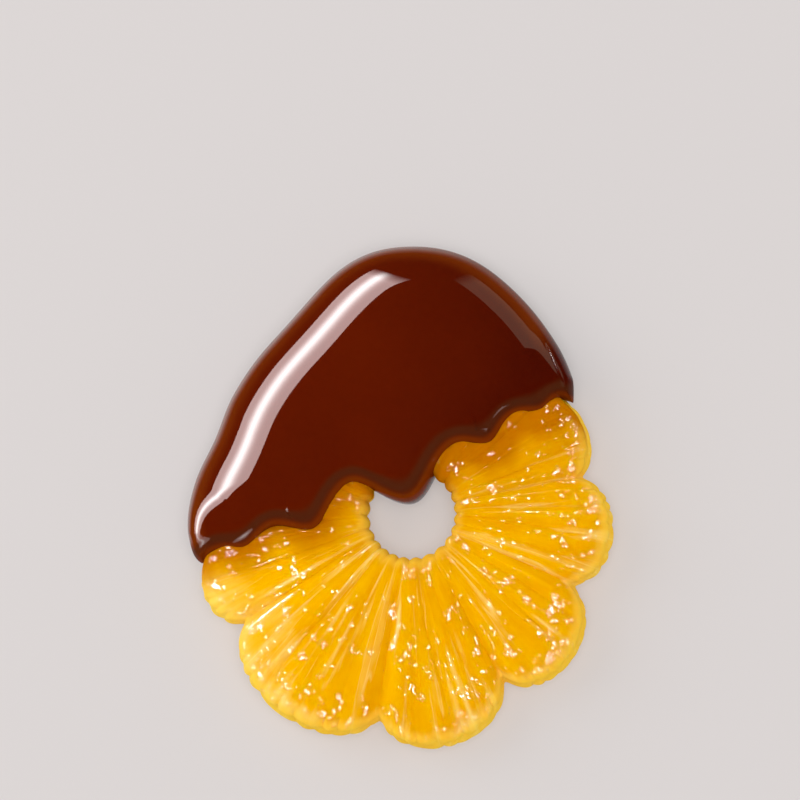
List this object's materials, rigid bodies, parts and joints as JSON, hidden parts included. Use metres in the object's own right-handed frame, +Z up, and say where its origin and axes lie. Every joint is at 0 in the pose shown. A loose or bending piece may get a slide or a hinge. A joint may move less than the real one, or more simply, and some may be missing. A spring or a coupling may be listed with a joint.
{
  "type": "candied pineapple ring",
  "caption": "Candied pineapple ring with a wavy, ribbed rim, one half covered with smooth dark chocolate that ends in a wavy lip.",
  "frame": {"origin": "middle of the bounding box, on the surface that the ring lies on", "axes": "+Z up through the ring's thickness, +Y across the ring towards the chocolate's crest, +X to the right as seen from above"},
  "size_m": [0.0762, 0.0898, 0.0156],
  "materials": {
    "candied_pineapple": "translucent golden yellow fruit with a sticky, glossy sugar surface",
    "chocolate": "smooth reddish dark brown with a high gloss"
  },
  "bodies": {
    "root": {"pineapple_ring": "candied_pineapple", "chocolate_coat": "chocolate"}
  },
  "joints": []
}
